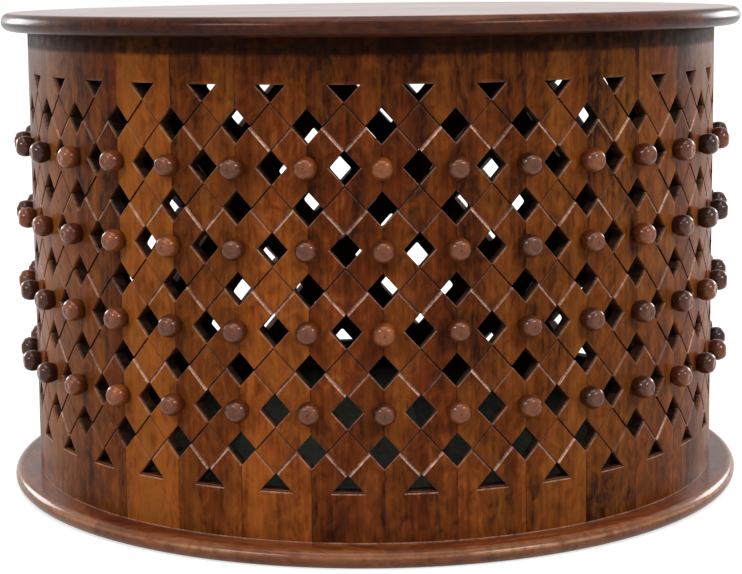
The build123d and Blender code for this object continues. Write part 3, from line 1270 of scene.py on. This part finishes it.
@dataclass
class WoodScrews:
    """Countersunk screws with a cross recess, standing head down at stations round the drum."""

    name: str
    node: str
    circle: float
    underside: float
    length: float
    stations: int
    first_station: float = 0.0
    pair: int = 1
    spacing: float = 0.0
    finish: SteelFinish = SteelFinish()
    stave_count: int = 34
    head_radius: float = 4.2 * MM
    head_rim: float = 0.12 * MM
    head_chamfer: float = 0.2 * MM
    head_height: float = 2.2 * MM
    shank_radius: float = 2.0 * MM
    point: float = 5 * MM
    recess_depth: float = 1.5 * MM
    recess_lip: float = 0.05 * MM
    recess: tuple[float, ...] = (2.3, 2.25, 1.15, 0.9, 1.15, 2.25)
    segments: int = 24
    crease: float = 40.0

    def screw(self, tree: GeometryTree) -> Any:
        """One screw, with its head's face at the origin and its point above.

        Args:
            tree: The tree.

        Returns:
            The screw.
        """
        length = tree.given("Length")
        # distance from the axis and height of each ring, from the middle of the recess over the head
        # to the point; the first three are shares of the recess's outline
        rings = [
            (0.0, self.recess_depth),
            (0.5, self.recess_depth * 0.96),
            (1.0, self.recess_lip),
            (self.head_radius - self.head_chamfer, 0.0),
            (self.head_radius, self.head_rim),
            (self.shank_radius, self.head_height),
            (self.shank_radius, length - self.point),
            (0.0, length),
        ]
        sheet = tree.grid(self.segments + 1, len(rings))
        flat_x, flat_y, _ = tree.position()
        column = ((flat_x + 0.5) * self.segments).rounded()
        ring = ((flat_y + 0.5) * (len(rings) - 1)).rounded()
        cross = tree.listed(column % len(self.recess), [value * MM for value in self.recess])
        out, up = (tree.listed(ring, side) for side in zip(*rings))
        out = out * (1 + (cross - 1) * ring.below(2.5))
        spin = (flat_x + 0.5) * FULL_TURN
        return tree.merged(tree.placed(sheet, tree.polar(out, spin, up)), 0.005 * MM)

    def tree(self) -> GeometryTree:
        """The tree that makes one set of screws.

        Returns:
            The Geometry Nodes tree.
        """
        names = ("circle", "underside", "length", "stations", "first_station", "pair", "spacing")
        tree = GeometryTree("Wood screws", {**sizes(self, *names), "Seed": 0})
        given = tree.given
        screw = self.screw(tree)
        points = tree.points(given("Stations") * given("Pair"))
        index = tree.index()
        station = ((index + 0.5) / given("Pair")).floored()
        side = index - station * given("Pair")
        # a station keeps to the middle of the stave that is nearest to its even share of the circle
        share = (station + given("First Station")) * self.stave_count / given("Stations")
        stave = (share + (0.5 - given("First Station"))).floored()
        angle = (stave + 0.5) * (FULL_TURN / self.stave_count) - QUARTER_TURN
        along = (side - (given("Pair") - 1) * 0.5) * given("Spacing")
        x = given("Circle") * angle.cosine() - along * angle.sine()
        y = given("Circle") * angle.sine() + along * angle.cosine()
        points = tree.placed(points, tree.vector(x, y, given("Underside")))
        turn = tree.first("FunctionNodeEulerToRotation", {0: tree.vector(0, 0, tree.chance(0, FULL_TURN, 1))})
        inputs = {"Points": points, "Instance": screw, "Rotation": turn}
        tree.close(tree.first("GeometryNodeInstanceOnPoints", inputs))
        return tree

    def build(self) -> None:
        """Makes the screws and puts them in the place of their CAD node."""
        piece = self.tree().make(self.name, self.finish.material(), seed=self.stations)
        on_drum(piece, self.crease, "screw_steel", self.node)


# ---- the carried-over CAD nodes ----------------------------------------------------------------------


@dataclass
class CadDress:
    """Finishes for the CAD nodes whose shape is already right."""

    top: TopFinish = TopFinish(
        "top_wood_polished",
        seed_step=5.3,
        middle=stain(88, 40, 20),
        tone=0.1,
        warmth=-0.1,
        figure=0.65,
        roughness=0.31,
        gloss=0.05,
        coat=0.6,
        coat_roughness=0.14,
        bump=0.05,
    )
    base: RimFinish = RimFinish(
        "base_wood_polished",
        seed=40.0,
        seed_step=3.7,
        light=stain(150, 84, 42),
        golden=stain(128, 76, 38),
        middle=stain(98, 44, 22),
        tone=0.4,
        roughness=0.3,
        gloss=0.06,
        coat=0.28,
        bump=0.05,
    )
    block: WoodFinish = WoodFinish(
        "block_wood_bare",
        space=GrainSpace.TABLE,
        seed=80.0,
        seed_step=1.0,
        light=stain(206, 164, 112),
        golden=stain(198, 160, 104),
        middle=stain(176, 128, 82),
        dark=stain(128, 84, 50),
        roughness=0.7,
    )
    bottom: BoardedFinish = BoardedFinish(
        "base_wood_bottom",
        seed=90.0,
        light=stain(112, 112, 98),
        golden=stain(104, 106, 92),
        middle=stain(84, 88, 78),
        dark=stain(52, 56, 50),
        roughness=0.6,
        bump=0.2,
    )
    board_tones: tuple[float, ...] = (0.06, -0.05, 0.02, 0.1, -0.02)
    segment_tones: tuple[float, ...] = (0.04, -0.06, 0.02, 0.08, -0.04, 0.0, 0.06, -0.02)
    block_count: int = 6
    board_turn: Triple = (0.0, QUARTER_TURN, 0.0)
    block_turn: Triple = (0.3, 1.2, 0.0)
    bottom_turn: Triple = (QUARTER_TURN, 0.0, 0.0)
    front: float = -90.0

    def segment_turn(self, index: int) -> Triple:
        """The turn that lays a base segment's grain along Z.

        Args:
            index: The segment's number, from zero.

        Returns:
            The turn, as three angles.
        """
        middle = math.radians(self.front + 360 / len(self.segment_tones) * (index + 0.5))
        return tuple((Matrix.Rotation(QUARTER_TURN, 3, "X") @ Matrix.Rotation(-middle, 3, "Z")).to_euler())

    def dress(self, node: str, finish: WoodFinish, turn: Triple, index: int = 0, shift: float = 0.0) -> None:
        """Puts a finish on a CAD node.

        Args:
            node: The node's name.
            finish: Its finish.
            turn: The turn that lays the grain along Z.
            index: The piece's number in its row.
            shift: How much lighter it is than the finish says.
        """
        material = replace(finish, tone=finish.tone + shift).material(turn, index)
        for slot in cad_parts[node].material_slots:
            slot.material = material
        log.info("%s wears %s", node, material.name)

    def build(self) -> None:
        """Dresses the boards, the ring, the blocks and the bottom."""
        for index, shift in enumerate(self.board_tones):
            self.dress(f"top_board_{index + 1}", self.top, self.board_turn, index, shift)
        for index, shift in enumerate(self.segment_tones):
            self.dress(f"base_segment_{index + 1}", self.base, self.segment_turn(index), index, shift)
        for index in range(self.block_count):
            self.dress(f"glue_block_{index + 1}", self.block, self.block_turn, index)
        self.dress("bottom_boards", self.bottom, self.bottom_turn)


# ---- the room ----------------------------------------------------------------------------------------


@dataclass(frozen=True)
class Softbox:
    """A rectangular lamp that faces the drum."""

    name: str
    place: Triple
    width: float
    height: float
    power: float
    aim: Triple = (0.0, 0.0, 0.3)

    def hang(self) -> None:
        """Puts the lamp in the scene."""
        data = bpy.data.lights.new(self.name, "AREA")
        data.shape = "RECTANGLE"
        data.size, data.size_y, data.energy = self.width, self.height, self.power
        lamp = added(self.name, data)
        lamp.location = self.place
        lamp.rotation_euler = (Vector(self.aim) - Vector(self.place)).to_track_quat("-Z", "Y").to_euler()


@dataclass
class Studio:
    """A pale floor, softboxes in front, overhead and low behind the sides, and a white surround."""

    floor_size: float = 60.0
    floor_paint: float = 0.5
    glow_near: float = 0.62
    glow_far: float = 1.0
    glow_reach: tuple[float, float] = (0.5, 2.6)
    surround: float = 0.3
    lamps: tuple[Softbox, ...] = (
        Softbox("softbox_left", (-1.8, -2.0, 1.9), 1.1, 0.4, 31.0),
        Softbox("softbox_right", (1.8, -2.0, 1.9), 1.1, 0.4, 37.0),
        Softbox("softbox_over", (0.0, -0.5, 2.6), 2.0, 2.0, 46.0),
        Softbox("softbox_side_left", (-2.0, 1.6, 0.85), 1.0, 0.8, 30.0),
        Softbox("softbox_side_right", (2.0, 1.6, 0.85), 1.0, 0.8, 33.0),
    )

    def shown(self, graph: Graph) -> Field:
        """Tells the rays that show the background, seen straight, in gloss or through glass.

        Args:
            graph: The tree of a material or surround.

        Returns:
            One for those rays, and zero for light.
        """
        path = graph.add("ShaderNodeLightPath").outputs
        kinds = ("Camera", "Glossy", "Transmission")
        camera, glossy, through = (Field(graph, path[f"Is {kind} Ray"]) for kind in kinds)
        return camera.at_least(glossy).at_least(through)

    def floor(self) -> None:
        """Lays the floor, which shows white and keeps the shadow."""
        half = self.floor_size / 2
        corners = [(-half, -half, 0), (half, -half, 0), (half, half, 0), (-half, half, 0)]
        mesh = bpy.data.meshes.new("floor")
        mesh.from_pydata(corners, [], [(0, 1, 2, 3)])
        floor = added("floor", mesh)
        material = bpy.data.materials.new("floor_pale")
        graph = cleared(material)
        x, y, _ = graph.place()
        glow = graph.ramp((x * x + y * y).root(), *self.glow_reach, self.glow_near, self.glow_far)
        paint = graph.first("ShaderNodeBsdfDiffuse", {"Color": (*[self.floor_paint] * 3, 1)})
        shine = graph.first("ShaderNodeEmission", {"Color": WHITE, "Strength": self.shown(graph) * glow})
        both = graph.first("ShaderNodeAddShader", {0: paint, 1: shine})
        graph.add("ShaderNodeOutputMaterial", {"Surface": both})
        mesh.materials.append(material)

    def world(self) -> None:
        """Sets the surround: white to look at and in reflections, dimmer as a light."""
        world = bpy.data.worlds.new("surround")
        bpy.context.scene.world = world
        graph = cleared(world)
        strength = self.shown(graph) * (1 - self.surround) + self.surround
        background = graph.first("ShaderNodeBackground", {"Color": WHITE, "Strength": strength})
        graph.add("ShaderNodeOutputWorld", {"Surface": background})

    def build(self) -> None:
        """Sets up the floor, the surround and the lamps."""
        self.floor()
        self.world()
        for lamp in self.lamps:
            lamp.hang()


@dataclass
class TableCamera:
    """The camera: nearly level with the top, a little to the left of the front seam."""

    distance: float = 1.967
    height: float = 0.5201
    orbit: float = -0.0241
    pitch: float = 0.1272
    roll: float = -0.0101
    focal: float = 1865.3
    shift: tuple[float, float] = (-1.6, -74.2)
    sight: float = 200.0

    def build(self) -> None:
        """Makes the camera and sets it as the scene's."""
        data = bpy.data.cameras.new("camera")
        data.sensor_width = SENSOR
        data.lens = self.focal / PICTURE_WIDTH * SENSOR
        data.shift_x, data.shift_y = (shift / PICTURE_WIDTH for shift in self.shift)
        data.clip_end = self.sight
        camera = added("camera", data)
        place = Vector((math.sin(self.orbit), -math.cos(self.orbit), 0)) * self.distance
        place.z = self.height
        turn = Matrix.Rotation(self.orbit, 4, "Z") @ Matrix.Rotation(QUARTER_TURN - self.pitch, 4, "X")
        camera.matrix_world = Matrix.Translation(place) @ turn @ Matrix.Rotation(self.roll, 4, "Z")
        bpy.context.scene.camera = camera


def main() -> None:
    """Builds the table and its room."""
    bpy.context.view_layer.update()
    bpy.context.scene.view_settings.view_transform = "Standard"
    base_screws = WoodScrews(
        name="steel_base_screws",
        node="base_screws",
        circle=347.5 * MM,
        underside=0.0,
        length=42 * MM,
        stations=16,
        first_station=0.5,
    )
    block_screws = WoodScrews(
        name="steel_block_screws",
        node="block_screws",
        circle=331 * MM,
        underside=435 * MM,
        length=43 * MM,
        stations=6,
        pair=2,
        spacing=26 * MM,
    )
    parts = (PiercedDrum(), TurnedKnobs(), base_screws, block_screws, CadDress())
    for part in (TableCamera(), Studio(), *parts):
        part.build()


if __name__ == "__main__":
    main()
